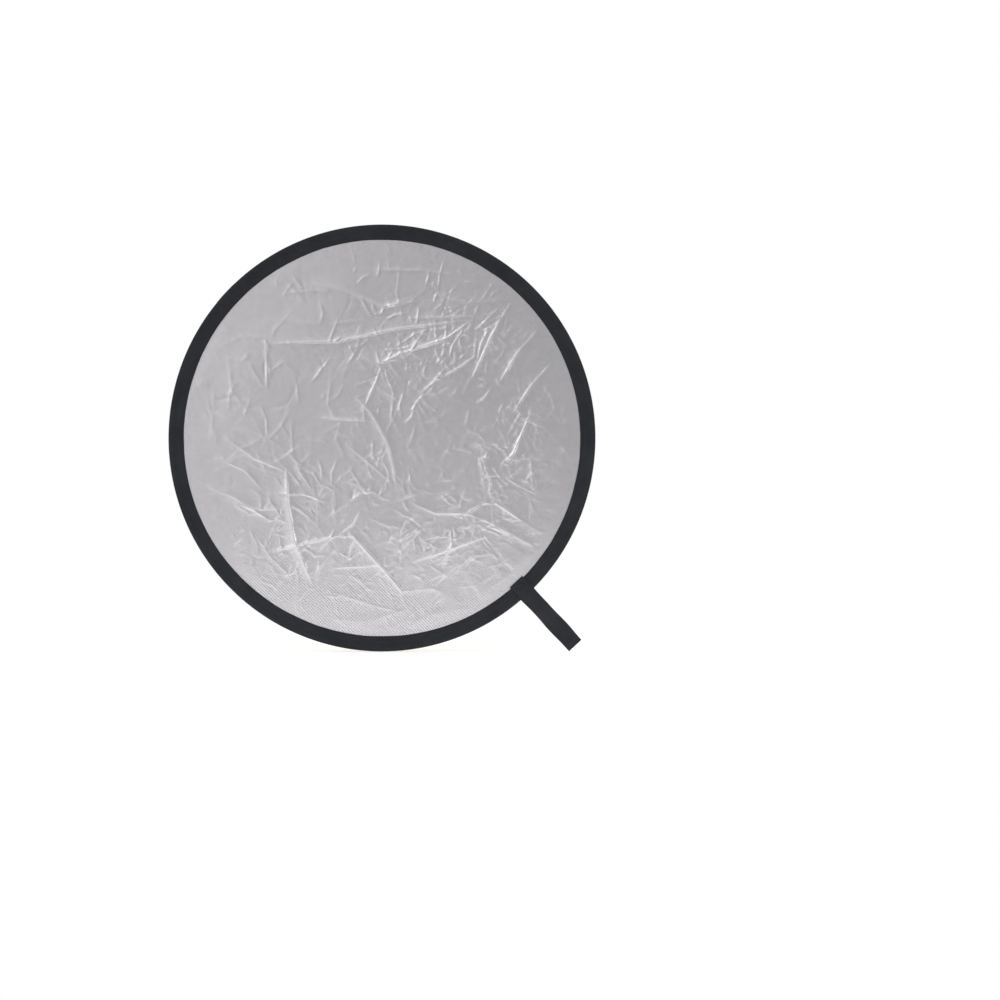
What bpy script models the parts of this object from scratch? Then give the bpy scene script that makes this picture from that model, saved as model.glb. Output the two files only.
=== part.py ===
"""Collapsible reflector disc: a sprung steel hoop sewn into a black rim binding that carries
a silver cloth in front and a gold cloth behind, with a doubled webbing strap on the rim.

The disc stands upright: its faces look along -Y (silver) and +Y (gold), and the rim's lowest
point is the origin. Angles run anticlockwise from +X, as the silver face is seen.
The steel hoop is one strip in real life. Here it is cut into equal lengths that hinge on each
other, so that it can coil into three turns.
"""
import math

import bmesh
import bpy
from mathutils import Matrix, Vector

MM = 0.001

# ---- driving dimensions, in millimetres and degrees ----
RIM_RADIUS = 250.0          # outside of the rim binding
RIM_WIDTH = 18.0            # rim binding, from its outer edge to its inner edge
BINDING_WALL = 0.5          # thickness of the binding tape
STRIP_WIDTH = 4.0           # spring steel strip, along the disc's axis
STRIP_THICK = 0.7           # spring steel strip, along the radius
FERRULE_LENGTH = 24.0       # sleeve that joins the strip's two ends
FERRULE_WALL = 0.3
FERRULE_GAP = 0.15          # sleeve to strip
CHANNEL_GAP = 0.4           # sleeve to the binding
HOOP_LINKS = 24             # lengths that the hoop is cut into
STEPS_PER_LINK = 4          # straight facets in each length, and in the rings over it
LINK_GAP = 0.5              # between two neighbouring lengths
BUTT_GAP = 0.3              # between the strip's ends inside the sleeve
CLOTH_THICK = 0.3
CLOTH_GAP = 0.3             # cloth to cloth, and cloth to binding
CLOTH_EDGE_INSET = 2.0      # cloth edge to the strip's inner face
NECK_INSET = 2.5            # where the binding starts to widen, inside the cloth's edge
EDGE_ROUND = 0.75           # rounding of the rim's outer corners, along the radius
EDGE_DEPTH = 1.7            # and along the disc's axis
THREAD_RADIUS = 0.25
THREAD_LIFT = 0.1           # thread to the surface that it lies on
SEAM_INSET = 3.0            # seam line to the binding's inner edge
SEAM_MARGIN = 1.5           # seam line to the clear part of the flange
STITCH_PULL = 0.12          # how far stitches pull the tape and the webbing in
STRAP_ANGLE = -47.0         # where the strap leaves the rim
STRAP_WIDTH = 20.0
STRAP_REACH = 82.0          # tip of the strap beyond the rim
WEBBING_THICK = 0.9
STRAP_GAP = 0.35            # strap to the binding and its thread
STRAP_OVERHANG = 2.2        # strap end beyond the binding's inner edge
STRAP_HINGE_OUT = 12.0      # bending line of the strap, outside the rim
STRAP_SWING = 120.0         # the strap's reach to either side
STRAP_TAPER = 4.0           # length over which the two legs come together, outside the rim
BOX_STITCH_MARGIN = 3.0     # stitching to the edge of the webbing
BOX_STITCH_END = 1.0        # stitching to the binding's inner edge
BOX_STITCH_NECK = 2.0       # stitching to where the binding widens
TIP_STITCH_IN = 9.0         # stitched rows to the strap's tip
TIP_STITCH_ROWS = 2.0       # between the two rows
TIP_STITCH_CLEAR = 2.0      # rows to the clear part of the strap
ROUND_STEPS = 6             # facets in a half turn of the strap's round ends

# ---- sizes that follow ----
SECTOR = math.radians(360.0 / HOOP_LINKS)
RING_STEPS = HOOP_LINKS * STEPS_PER_LINK
CHANNEL_HALF = STRIP_WIDTH / 2 + FERRULE_GAP + FERRULE_WALL + CHANNEL_GAP
RIM_HALF = CHANNEL_HALF + BINDING_WALL
CHANNEL_RADIUS = RIM_RADIUS - BINDING_WALL
HOOP_RADIUS = CHANNEL_RADIUS - CHANNEL_GAP - FERRULE_WALL - FERRULE_GAP - STRIP_THICK / 2
BINDING_INNER = RIM_RADIUS - RIM_WIDTH
FLANGE_INSIDE = CLOTH_GAP / 2 + CLOTH_THICK + CLOTH_GAP
FLANGE_OUTSIDE = FLANGE_INSIDE + BINDING_WALL
CLOTH_RADIUS = HOOP_RADIUS - STRIP_THICK / 2 - CLOTH_EDGE_INSET
NECK_RADIUS = CLOTH_RADIUS - NECK_INSET
SEAM_RADIUS = BINDING_INNER + SEAM_INSET
ROOT_ANGLE = math.radians(STRAP_ANGLE)
STRAP_HALF_THICK = WEBBING_THICK + CLOTH_GAP / 2
LEG_INSIDE = FLANGE_OUTSIDE + THREAD_LIFT + 2 * THREAD_RADIUS + STRAP_GAP
LEG_OUTSIDE = LEG_INSIDE + WEBBING_THICK
COLLAR_INSIDE = RIM_HALF + STRAP_GAP
COLLAR_OUTSIDE = COLLAR_INSIDE + WEBBING_THICK
HINGE_RADIUS = RIM_RADIUS + STRAP_HINGE_OUT
STRAP_TIP = RIM_RADIUS + STRAP_REACH

CENTRE = Vector((0.0, 0.0, RIM_RADIUS * MM))


# ---- scene helpers ----
def clear_scene():
    """Remove every object, so that the model is the only thing in the file."""
    for item in list(bpy.data.objects):
        bpy.data.objects.remove(item, do_unlink=True)


def make_material(name, color, roughness, metallic=0.0):
    """A Principled material with one colour."""
    material = bpy.data.materials.new(name)
    material.use_nodes = True
    shader = material.node_tree.nodes["Principled BSDF"]
    shader.inputs["Base Color"].default_value = (*color, 1.0)
    shader.inputs["Roughness"].default_value = roughness
    shader.inputs["Metallic"].default_value = metallic
    material.diffuse_color = (*color, 1.0)
    return material


def place(obj, name, material, collection):
    """Name an object, give it its material and put it in the model's collection."""
    obj.name = name
    obj.data.name = name
    obj.data.materials.clear()
    obj.data.materials.append(material)
    for owner in list(obj.users_collection):
        owner.objects.unlink(obj)
    collection.objects.link(obj)
    return obj


def smooth(obj, angle=40.0):
    """Shade a mesh smooth and keep the edges sharper than an angle."""
    obj.data.shade_smooth()
    obj.data.set_sharp_from_angle(angle=math.radians(angle))


def polar(radius, angle, depth):
    """Point at a radius and angle in the disc's plane, depth along +Y, in metres."""
    return CENTRE + Vector((radius * math.cos(angle), depth, radius * math.sin(angle))) * MM


def disc_matrix(angle=0.0):
    """Turn local Z to the disc's axis (-Y) and local X to an angle in the disc's plane."""
    return Matrix.Translation(CENTRE) @ Matrix.Rotation(-angle, 4, "Y") @ Matrix.Rotation(math.pi / 2, 4, "X")


# ---- shapes ----
def turned_ring(name, profile, material, collection):
    """A closed profile of (radius, height) points, carried round the disc's axis."""
    mesh = bpy.data.meshes.new(name)
    points = [(radius * MM, 0.0, height * MM) for radius, height in profile]
    edges = [(i, (i + 1) % len(points)) for i in range(len(points))]
    mesh.from_pydata(points, edges, [])
    obj = bpy.data.objects.new(name, mesh)
    collection.objects.link(obj)
    screw = obj.modifiers.new("Turn", "SCREW")
    screw.axis = "Z"
    screw.angle = 2 * math.pi
    screw.steps = RING_STEPS
    screw.render_steps = RING_STEPS
    screw.use_merge_vertices = True
    screw.merge_threshold = 0.00001
    screw.use_smooth_shade = True
    obj.matrix_world = disc_matrix(ROOT_ANGLE)
    return place(obj, name, material, collection)


def bent_bar(name, start, end, radii, depths, steps, material, collection):
    """A block bent round the disc's axis: angles start to end, with its radii and depths."""
    block = bmesh.new()
    bmesh.ops.create_cube(block, size=1.0, matrix=Matrix.Translation((0.5, 0.5, 0.5)))
    for step in range(1, steps):
        everything = block.verts[:] + block.edges[:] + block.faces[:]
        bmesh.ops.bisect_plane(block, geom=everything, plane_co=(step / steps, 0, 0), plane_no=(1, 0, 0))
    for vert in block.verts:
        along, across, up = vert.co
        angle = start + (end - start) * along
        radius = radii[0] + (radii[1] - radii[0]) * across
        depth = depths[0] + (depths[1] - depths[0]) * up
        vert.co = polar(radius, angle, depth)
    mesh = bpy.data.meshes.new(name)
    block.to_mesh(mesh)
    block.free()
    obj = bpy.data.objects.new(name, mesh)
    collection.objects.link(obj)
    return place(obj, name, material, collection)


def cut_strip(name, outline, width, material, collection):
    """An outline of (radius, depth) points at the strap's angle, as wide as the strap."""
    curve = bpy.data.curves.new(name, "CURVE")
    curve.dimensions = "2D"
    curve.fill_mode = "BOTH"
    curve.extrude = width / 2 * MM
    spline = curve.splines.new("POLY")
    spline.points.add(len(outline) - 1)
    for point, (radius, depth) in zip(spline.points, outline):
        point.co = (radius * MM, depth * MM, 0.0, 1.0)
    spline.use_cyclic_u = True
    obj = bpy.data.objects.new(name, curve)
    collection.objects.link(obj)
    obj.matrix_world = Matrix.Translation(CENTRE) @ Matrix.Rotation(-ROOT_ANGLE, 4, "Y")
    return place(obj, name, material, collection)


def thread_frame(name, corners, depth, material, collection):
    """A closed run of thread through (radius, sideways) corners on a face of the strap."""
    curve = bpy.data.curves.new(name, "CURVE")
    curve.dimensions = "3D"
    curve.bevel_depth = THREAD_RADIUS * MM
    curve.bevel_resolution = 1
    spline = curve.splines.new("POLY")
    spline.points.add(len(corners) - 1)
    for point, (radius, sideways) in zip(spline.points, corners):
        point.co = (radius * MM, depth * MM, sideways * MM, 1.0)
    spline.use_cyclic_u = True
    obj = bpy.data.objects.new(name, curve)
    collection.objects.link(obj)
    obj.matrix_world = Matrix.Translation(CENTRE) @ Matrix.Rotation(-ROOT_ANGLE, 4, "Y")
    return place(obj, name, material, collection)


# ---- pieces ----
def mirrored(half):
    """Complete an outline whose first half runs from the inner end to the outer end."""
    return half + [(radius, -height) for radius, height in reversed(half)]


def make_cloths(silver, gold, collection):
    """Two thin discs that lie either side of the middle plane, their edges in the binding."""
    middle = CLOTH_GAP / 2 + CLOTH_THICK / 2
    for name, depth, material in (("front_cloth", -middle, silver), ("rear_cloth", middle, gold)):
        bpy.ops.mesh.primitive_cylinder_add(
            vertices=RING_STEPS, radius=CLOTH_RADIUS * MM, depth=CLOTH_THICK * MM, end_fill_type="TRIFAN")
        cloth = bpy.context.object
        cloth.matrix_world = Matrix.Translation((0, depth * MM, 0)) @ disc_matrix(ROOT_ANGLE)
        place(cloth, name, material, collection)


def make_binding(tape, collection):
    """Tape folded round the hoop: a channel for the strip and a flange on each cloth."""
    shoulder = CHANNEL_HALF - FLANGE_INSIDE
    half_wall = BINDING_WALL / 2
    outer_half = [
        (BINDING_INNER, FLANGE_OUTSIDE - STITCH_PULL),
        (SEAM_RADIUS + SEAM_MARGIN, FLANGE_OUTSIDE - STITCH_PULL),
        (SEAM_RADIUS + SEAM_MARGIN + 2 * STITCH_PULL, FLANGE_OUTSIDE),
        (NECK_RADIUS - half_wall, FLANGE_OUTSIDE),
        (NECK_RADIUS + shoulder - half_wall, RIM_HALF),
        (RIM_RADIUS - EDGE_ROUND, RIM_HALF),
        (RIM_RADIUS - EDGE_ROUND / 5, RIM_HALF - EDGE_DEPTH * 0.3),
        (RIM_RADIUS, RIM_HALF - EDGE_DEPTH),
    ]
    inner_half = [
        (BINDING_INNER, FLANGE_INSIDE),
        (NECK_RADIUS, FLANGE_INSIDE),
        (NECK_RADIUS + shoulder, CHANNEL_HALF),
        (CHANNEL_RADIUS - EDGE_ROUND * 0.6, CHANNEL_HALF),
        (CHANNEL_RADIUS - EDGE_ROUND / 8, CHANNEL_HALF - EDGE_DEPTH * 0.15),
        (CHANNEL_RADIUS, CHANNEL_HALF - EDGE_DEPTH * 0.7),
    ]
    profile = mirrored(outer_half) + list(reversed(mirrored(inner_half)))
    turned_ring("rim_binding", profile, tape, collection)


def make_seams(thread, collection):
    """A row of thread on each flange of the binding."""
    height = FLANGE_OUTSIDE - STITCH_PULL + THREAD_LIFT + THREAD_RADIUS
    for name, depth in (("front_seam_thread", -height), ("rear_seam_thread", height)):
        bpy.ops.mesh.primitive_torus_add(
            major_radius=SEAM_RADIUS * MM, minor_radius=THREAD_RADIUS * MM,
            major_segments=RING_STEPS, minor_segments=5)
        ring = bpy.context.object
        ring.matrix_world = Matrix.Translation((0, depth * MM, 0)) @ disc_matrix(ROOT_ANGLE)
        place(ring, name, thread, collection)
        smooth(ring, 80.0)


def make_hoop(steel, collection):
    """The strip's lengths: one at the strap, then an arm each way, and the ends in the sleeve."""
    radii = (HOOP_RADIUS - STRIP_THICK / 2, HOOP_RADIUS + STRIP_THICK / 2)
    depths = (-STRIP_WIDTH / 2, STRIP_WIDTH / 2)
    trim = LINK_GAP / 2 / HOOP_RADIUS
    right_arm = HOOP_LINKS // 2
    left_arm = HOOP_LINKS - 1 - right_arm

    def length(name, first, last, steps=STEPS_PER_LINK):
        bent_bar(name, first, last, radii, depths, steps, steel, collection)

    length("hoop_root", ROOT_ANGLE - SECTOR / 2 + trim, ROOT_ANGLE + SECTOR / 2 - trim)
    for index in range(1, right_arm):
        middle = ROOT_ANGLE + index * SECTOR
        length(f"hoop_right_{index:02d}", middle - SECTOR / 2 + trim, middle + SECTOR / 2 - trim)
    for index in range(1, left_arm + 1):
        middle = ROOT_ANGLE - index * SECTOR
        length(f"hoop_left_{index:02d}", middle - SECTOR / 2 + trim, middle + SECTOR / 2 - trim)
    joint = ROOT_ANGLE + right_arm * SECTOR
    butt = BUTT_GAP / 2 / HOOP_RADIUS
    half_steps = max(1, STEPS_PER_LINK // 2)
    length("hoop_end_right", joint - SECTOR / 2 + trim, joint - butt, half_steps)
    length("hoop_end_left", joint + butt, joint + SECTOR / 2 - trim, half_steps)
    return joint


def make_ferrule(joint, steel, collection):
    """A flattened sleeve over the strip's two ends, bent round the disc's axis."""
    half_angle = FERRULE_LENGTH / 2 / HOOP_RADIUS
    inner = STRIP_THICK / 2 + FERRULE_GAP
    outer = inner + FERRULE_WALL
    inner_depth = STRIP_WIDTH / 2 + FERRULE_GAP
    outer_depth = inner_depth + FERRULE_WALL
    chamfer = FERRULE_WALL / 2
    loop_out = [
        (HOOP_RADIUS + outer, outer_depth - chamfer), (HOOP_RADIUS + outer - chamfer, outer_depth),
        (HOOP_RADIUS - outer + chamfer, outer_depth), (HOOP_RADIUS - outer, outer_depth - chamfer),
        (HOOP_RADIUS - outer, chamfer - outer_depth), (HOOP_RADIUS - outer + chamfer, -outer_depth),
        (HOOP_RADIUS + outer - chamfer, -outer_depth), (HOOP_RADIUS + outer, chamfer - outer_depth)]
    loop_in = [
        (HOOP_RADIUS + inner, inner_depth), (HOOP_RADIUS + inner, inner_depth),
        (HOOP_RADIUS - inner, inner_depth), (HOOP_RADIUS - inner, inner_depth),
        (HOOP_RADIUS - inner, -inner_depth), (HOOP_RADIUS - inner, -inner_depth),
        (HOOP_RADIUS + inner, -inner_depth), (HOOP_RADIUS + inner, -inner_depth)]
    sleeve = bmesh.new()
    count = len(loop_out)
    ends = []
    for angle in (joint - half_angle, joint, joint + half_angle):
        ends.append([[sleeve.verts.new(polar(radius, angle, depth)) for radius, depth in loop]
                     for loop in (loop_out, loop_in)])
    for near, far in zip(ends, ends[1:]):
        for side in range(count):
            after = (side + 1) % count
            sleeve.faces.new((near[0][side], near[0][after], far[0][after], far[0][side]))
            sleeve.faces.new((near[1][after], near[1][side], far[1][side], far[1][after]))
    for side in range(count):
        after = (side + 1) % count
        sleeve.faces.new((ends[0][0][after], ends[0][0][side], ends[0][1][side], ends[0][1][after]))
        sleeve.faces.new((ends[-1][0][side], ends[-1][0][after], ends[-1][1][after], ends[-1][1][side]))
    bmesh.ops.remove_doubles(sleeve, verts=sleeve.verts[:], dist=0.000001)
    bmesh.ops.dissolve_degenerate(sleeve, dist=0.000001, edges=sleeve.edges[:])
    bmesh.ops.recalc_face_normals(sleeve, faces=sleeve.faces[:])
    mesh = bpy.data.meshes.new("hoop_ferrule")
    sleeve.to_mesh(mesh)
    sleeve.free()
    obj = bpy.data.objects.new("hoop_ferrule", mesh)
    collection.objects.link(obj)
    place(obj, "hoop_ferrule", steel, collection)


def make_strap(webbing, thread, collection):
    """Webbing folded over the rim and doubled: its sewn end, its free end and their stitches."""
    reach = math.radians((180 - STRAP_SWING) / 2)
    stub_end = HINGE_RADIUS - STRAP_HALF_THICK / math.tan(reach) - STRAP_GAP
    inner_end = BINDING_INNER - STRAP_OVERHANG
    outer_step = NECK_RADIUS - BINDING_WALL / 2 - STRAP_GAP
    inner_step = outer_step - STRAP_GAP / 2
    outer_half = [
        (inner_end, LEG_OUTSIDE),
        (outer_step, LEG_OUTSIDE),
        (outer_step + COLLAR_OUTSIDE - LEG_OUTSIDE, COLLAR_OUTSIDE),
        (RIM_RADIUS + STRAP_GAP / 2, COLLAR_OUTSIDE),
        (RIM_RADIUS + STRAP_TAPER, STRAP_HALF_THICK),
        (stub_end, STRAP_HALF_THICK),
    ]
    inner_half = [
        (inner_end, LEG_INSIDE),
        (inner_step, LEG_INSIDE),
        (inner_step + COLLAR_INSIDE - LEG_INSIDE, COLLAR_INSIDE),
        (RIM_RADIUS - STRAP_GAP, COLLAR_INSIDE),
        (RIM_RADIUS + STRAP_GAP, RIM_HALF - EDGE_DEPTH * 0.7),
    ]
    cut_strip("strap_anchor", mirrored(outer_half) + list(reversed(mirrored(inner_half))),
              STRAP_WIDTH, webbing, collection)

    half_turn = [math.pi * step / ROUND_STEPS for step in range(ROUND_STEPS + 1)]
    clear_end = STRAP_TIP - TIP_STITCH_IN - TIP_STITCH_CLEAR
    tip_half = STRAP_HALF_THICK - STITCH_PULL
    sewn = clear_end + 2 * STITCH_PULL
    fold_centre = STRAP_TIP - tip_half
    hinge_end = [(HINGE_RADIUS - STRAP_HALF_THICK * math.sin(turn), STRAP_HALF_THICK * math.cos(turn))
                 for turn in half_turn]
    fold = [(fold_centre + tip_half * math.sin(turn), -tip_half * math.cos(turn)) for turn in half_turn]
    lower = [(clear_end, -STRAP_HALF_THICK), (sewn, -tip_half)]
    upper = [(sewn, tip_half), (clear_end, STRAP_HALF_THICK)]
    outline = hinge_end + lower + fold + upper
    cut_strip("strap_loop", outline, STRAP_WIDTH, webbing, collection)

    side = STRAP_WIDTH / 2 - BOX_STITCH_MARGIN
    box_start = BINDING_INNER + BOX_STITCH_END
    box_stop = NECK_RADIUS - BOX_STITCH_NECK
    box = [(box_start, -side), (box_start, side), (box_stop, side), (box_stop, -side)]
    box_height = LEG_OUTSIDE + THREAD_LIFT + THREAD_RADIUS
    row_start = STRAP_TIP - TIP_STITCH_IN
    row_stop = row_start + TIP_STITCH_ROWS
    row = [(row_start, -side), (row_start, side), (row_stop, side), (row_stop, -side)]
    row_height = tip_half + THREAD_LIFT + THREAD_RADIUS
    for face, sign in (("front", -1), ("rear", 1)):
        thread_frame(f"strap_box_stitch_{face}", box, sign * box_height, thread, collection)
        thread_frame(f"strap_tip_stitch_{face}", row, sign * row_height, thread, collection)


def build():
    """Make every piece of the disc."""
    clear_scene()
    collection = bpy.data.collections.new("collapsible_reflector_disc")
    bpy.context.scene.collection.children.link(collection)
    silver = make_material("silver_cloth", (0.46, 0.45, 0.46), 0.38, 0.7)
    gold = make_material("gold_cloth", (0.45, 0.24, 0.06), 0.36, 0.8)
    tape = make_material("binding_tape", (0.028, 0.032, 0.039), 0.85)
    webbing = make_material("strap_webbing", (0.022, 0.025, 0.03), 0.8)
    thread = make_material("black_thread", (0.018, 0.019, 0.022), 0.7)
    steel = make_material("spring_steel", (0.42, 0.43, 0.45), 0.3, 1.0)
    sleeve = make_material("ferrule_steel", (0.5, 0.5, 0.51), 0.42, 1.0)
    make_cloths(silver, gold, collection)
    make_binding(tape, collection)
    make_seams(thread, collection)
    joint = make_hoop(steel, collection)
    make_ferrule(joint, sleeve, collection)
    make_strap(webbing, thread, collection)


build()
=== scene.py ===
"""Collapsible reflector disc: silver cloth in front, gold cloth behind, a black tape folded over the
rim, its lockstitch, and a doubled webbing strap.

The disc stands upright with its silver face towards -Y, and its lowest point is the origin.
A place on it is (radius, angle, depth): angles run anticlockwise from +X as the silver face is
seen, and depth runs along +Y. Everything is in metres.
The sprung hoop coils into three turns, so the cloths are cut into one sector for each length of
the hoop, and the tape and its seams are cut between the middles of neighbouring lengths.
"""
import math

import bpy
import numpy as np
from bpy.props import FloatProperty, FloatVectorProperty, PointerProperty
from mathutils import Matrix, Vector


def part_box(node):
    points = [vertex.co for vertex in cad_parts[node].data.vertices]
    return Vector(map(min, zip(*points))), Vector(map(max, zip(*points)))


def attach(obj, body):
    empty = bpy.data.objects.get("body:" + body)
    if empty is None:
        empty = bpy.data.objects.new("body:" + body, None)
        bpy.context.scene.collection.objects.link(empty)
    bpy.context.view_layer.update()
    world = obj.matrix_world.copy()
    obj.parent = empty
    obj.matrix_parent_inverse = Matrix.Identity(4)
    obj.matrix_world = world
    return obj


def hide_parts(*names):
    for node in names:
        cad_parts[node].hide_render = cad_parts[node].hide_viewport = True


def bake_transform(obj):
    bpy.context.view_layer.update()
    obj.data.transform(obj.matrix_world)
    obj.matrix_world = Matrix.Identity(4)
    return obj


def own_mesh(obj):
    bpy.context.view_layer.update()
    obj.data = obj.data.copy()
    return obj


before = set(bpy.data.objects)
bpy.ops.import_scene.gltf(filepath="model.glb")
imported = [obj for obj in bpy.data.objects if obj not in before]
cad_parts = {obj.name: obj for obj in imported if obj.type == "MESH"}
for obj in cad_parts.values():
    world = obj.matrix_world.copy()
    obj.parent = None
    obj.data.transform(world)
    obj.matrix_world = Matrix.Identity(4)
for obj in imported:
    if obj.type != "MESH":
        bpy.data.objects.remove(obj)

bl_info = {
    "name": "Collapsible Reflector Disc",
    "version": (1, 0, 0),
    "blender": (4, 5, 0),
    "location": "3D View > Sidebar > Reflector",
    "description": "Cloths, rim tape, seams and strap of a collapsible reflector disc",
    "category": "Add Mesh",
}

MM = 0.001
RIM_LOW, RIM_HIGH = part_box("rim_binding")
CENTRE_HEIGHT = (RIM_LOW.z + RIM_HIGH.z) / 2
LINKS = 24                               # lengths of the sprung hoop
SECTOR = 2 * math.pi / LINKS
STRAP_ANGLE = math.radians(-47.0)
HOOP_RADIUS = 0.2483
HINGE_RADIUS = 0.262                     # bending line of the strap
CHORD_RADIUS = HOOP_RADIUS * math.cos(SECTOR / 2)
CLOTH_EDGE = 0.24595
CLOTH_INSIDE = 0.15 * MM                 # depth of a cloth's hidden face
CLOTH_THICK = 0.3 * MM
RIGHT_ARM = ["root"] + [f"hoop_right_{i:02d}" for i in range(1, 13)]
LEFT_ARM = ["root"] + [f"hoop_left_{i:02d}" for i in range(1, 12)]
MAP_HALF = 0.25                          # the cloths' relief is worked out on a square grid
MAP_COUNT = 1001
BULGE_EDGE = 0.204                       # a cloth's bulge ends here
CREASED_RADIUS = 0.228                   # short creases start inside this
CLOTH_ROWS, CLOTH_COLUMNS = 204, 59      # points of a sector, outwards and across


# ---------------------------------------------------------------- places on the disc

def disc_point(radius, angle, depth):
    """Radius and angle round the disc's centre, and depth along its axis, as x, y, z."""
    radius, angle, depth = np.broadcast_arrays(radius, angle, depth)
    return np.stack([radius * np.cos(angle), depth, CENTRE_HEIGHT + radius * np.sin(angle)], axis=-1)


def outward(angle):
    """Direction from the disc's centre to the rim at an angle."""
    return np.array([math.cos(angle), 0.0, math.sin(angle)])


def along(angle):
    """Direction round the rim at an angle."""
    return np.array([-math.sin(angle), 0.0, math.cos(angle)])


def hoop_lengths():
    """Every length of the hoop: its body and the angle of its middle."""
    right = [(body, STRAP_ANGLE + i * SECTOR) for i, body in enumerate(RIGHT_ARM)]
    left = [(body, STRAP_ANGLE - i * SECTOR) for i, body in enumerate(LEFT_ARM)]
    return right + left[1:]


def rim_spans():
    """Every stretch of the rim between the middles of two neighbouring lengths: a tag, the bodies
    at its ends, and the angles of its ends. The two last stretches end where the arms meet."""
    spans = []
    for arm, side in ((RIGHT_ARM, 1), (LEFT_ARM, -1)):
        for i in range(1, len(arm)):
            start = STRAP_ANGLE + side * (i - 1) * SECTOR
            name = f"right_{i:02d}" if side > 0 else f"left_{i:02d}"
            spans.append((name, arm[i - 1], arm[i], start, start + side * SECTOR))
    for arm, side in ((RIGHT_ARM, 1), (LEFT_ARM, -1)):
        start = STRAP_ANGLE + side * (len(arm) - 1) * SECTOR
        name = "right_end" if side > 0 else "left_end"
        spans.append((name, arm[-1], arm[-1], start, start + side * SECTOR / 2))
    return spans


def follow_span(piece, span):
    """Attaches a piece whose two ends lie on one length of the hoop to that length; any other piece only
    has its transform baked into its mesh.
    """
    name, first, second, start, end = span
    if first == second:
        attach(piece, first)
        return
    joint = (start + end) / 2
    middle = disc_point(HOOP_RADIUS, joint, 0.0)
    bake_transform(piece)


# ---------------------------------------------------------------- meshes

def wrap_faces(rows, columns, close_rows=False, close_columns=False):
    """Quads between neighbouring points of a grid of rows and columns, wrapped round where asked."""
    row, column = np.meshgrid(np.arange(rows if close_rows else rows - 1),
                              np.arange(columns if close_columns else columns - 1), indexing="ij")
    below, beside = (row + 1) % rows, (column + 1) % columns
    corners = [row * columns + column, row * columns + beside, below * columns + beside,
               below * columns + column]
    return np.stack(corners, axis=-1).reshape(-1, 4)


def enclosed_volume(points, faces):
    """Signed volume inside closed faces: the sum of the tetrahedra from the origin to each."""
    total = 0.0
    for group in faces:
        for i in range(1, group.shape[1] - 1):
            a, b, c = points[group[:, 0]], points[group[:, i]], points[group[:, i + 1]]
            total += float(np.einsum("ij,ij->", a, np.cross(b, c))) / 6.0
    return total


def add_piece(name, points, faces, material, flat, normals=None):
    """A closed mesh from point and face arrays, turned so that its faces point outwards. The
    attribute "flat" holds each point's place on the uncut cloth or tape."""
    middle = points.mean(axis=0)
    if enclosed_volume(points - middle, faces) < 0:
        faces = [group[:, ::-1] for group in faces]
    corners = np.concatenate([group.reshape(-1) for group in faces]).astype(np.int32)
    sizes = np.concatenate([np.full(len(group), group.shape[1]) for group in faces])
    starts = np.concatenate([[0], np.cumsum(sizes)[:-1]]).astype(np.int32)
    mesh = bpy.data.meshes.new(name)
    mesh.vertices.add(len(points))
    mesh.vertices.foreach_set("co", np.ascontiguousarray(points, np.float32).ravel())
    mesh.loops.add(len(corners))
    mesh.loops.foreach_set("vertex_index", corners)
    mesh.polygons.add(len(starts))
    mesh.polygons.foreach_set("loop_start", starts)
    mesh.update(calc_edges=True)
    mesh.shade_smooth()
    layer = mesh.attributes.new("flat", "FLOAT_VECTOR", "POINT")
    layer.data.foreach_set("vector", np.ascontiguousarray(flat, np.float32).ravel())
    mesh.materials.append(material)
    if normals is not None:
        mesh.normals_split_custom_set_from_vertices(np.ascontiguousarray(normals, np.float32))
    piece = bpy.data.objects.new(name, mesh)
    bpy.context.scene.collection.objects.link(piece)
    return piece


def smooth_path(points, step):
    """A Catmull-Rom curve through the points, cut into equal steps of its length."""
    points = np.asarray(points, float)
    padded = np.vstack([2 * points[0] - points[1], points, 2 * points[-1] - points[-2]])
    before, start, end, after = padded[:-3], padded[1:-2], padded[2:-1], padded[3:]
    t = np.linspace(0, 1, 24, endpoint=False)[None, :, None]
    a, b, c, d = (p[:, None, :] for p in (before, start, end, after))
    curve = 0.5 * (2 * b + (c - a) * t + (2 * a - 5 * b + 4 * c - d) * t ** 2
                   + (3 * b - a - 3 * c + d) * t ** 3)
    curve = np.vstack([curve.reshape(-1, points.shape[1]), points[-1]])
    length = np.concatenate([[0], np.cumsum(np.linalg.norm(np.diff(curve, axis=0), axis=1))])
    marks = np.linspace(0, length[-1], max(2, int(round(length[-1] / step)) + 1))
    return np.stack([np.interp(marks, length, curve[:, i]) for i in range(points.shape[1])], axis=-1)


# ---------------------------------------------------------------- relief of the cloths

def lattice_noise(u, v, seed):
    """Smooth noise from -1 to 1: random values on a unit lattice, joined by smoothsteps."""
    table = np.random.default_rng(seed).uniform(-1, 1, (128, 128))
    iu, iv = np.floor(u).astype(int), np.floor(v).astype(int)
    fu, fv = u - iu, v - iv
    fu, fv = fu * fu * (3 - 2 * fu), fv * fv * (3 - 2 * fv)
    iu, iv, ju, jv = iu % 128, iv % 128, (iu + 1) % 128, (iv + 1) % 128
    near = table[iu, iv] * (1 - fu) + table[ju, iv] * fu
    far = table[iu, jv] * (1 - fu) + table[ju, jv] * fu
    return near * (1 - fv) + far * fv


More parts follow.
